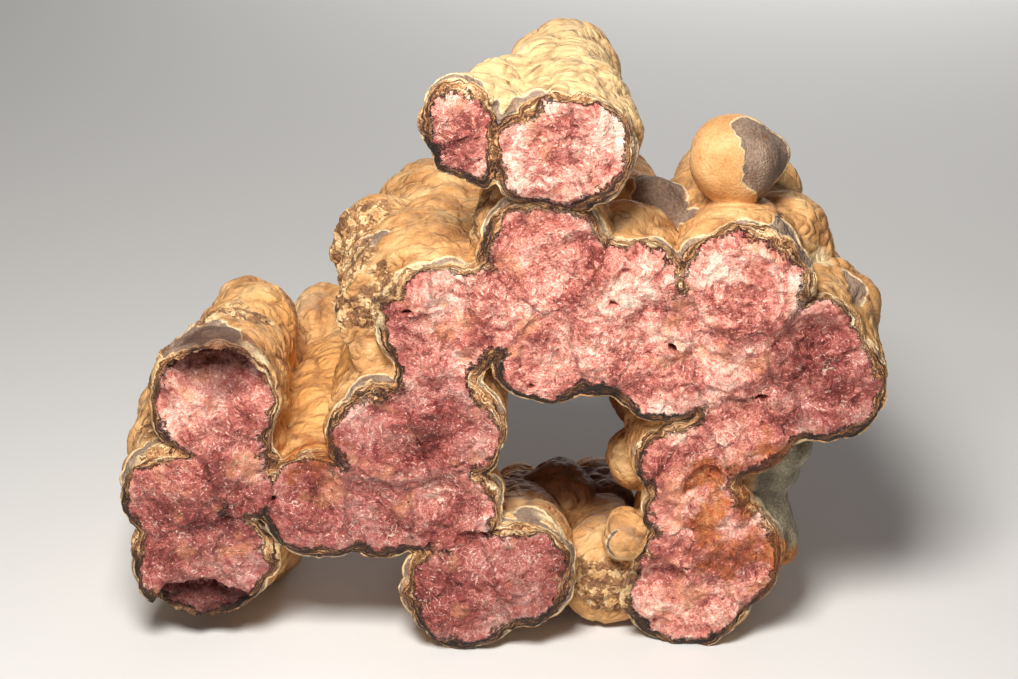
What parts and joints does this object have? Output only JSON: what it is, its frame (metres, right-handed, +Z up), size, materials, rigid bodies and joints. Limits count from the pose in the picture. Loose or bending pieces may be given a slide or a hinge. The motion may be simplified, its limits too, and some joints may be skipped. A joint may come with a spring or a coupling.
{
  "type": "rhodochrosite stalactite cluster",
  "caption": "Cluster of rhodochrosite stalactites grown into one arched piece, broken across to show banded pink cores in an ochre skin.",
  "frame": {"origin": "on the surface the piece stands on, in the middle of its length and depth", "axes": "+X along its length, to the right of the picture; +Y from the break towards the grown tips; +Z up"},
  "size_m": [0.2581, 0.1472, 0.2069],
  "materials": {
    "stone": "rough ochre skin, crystalline pink break"
  },
  "bodies": {
    "root": {"stalactite_cluster": "stone"}
  },
  "joints": []
}
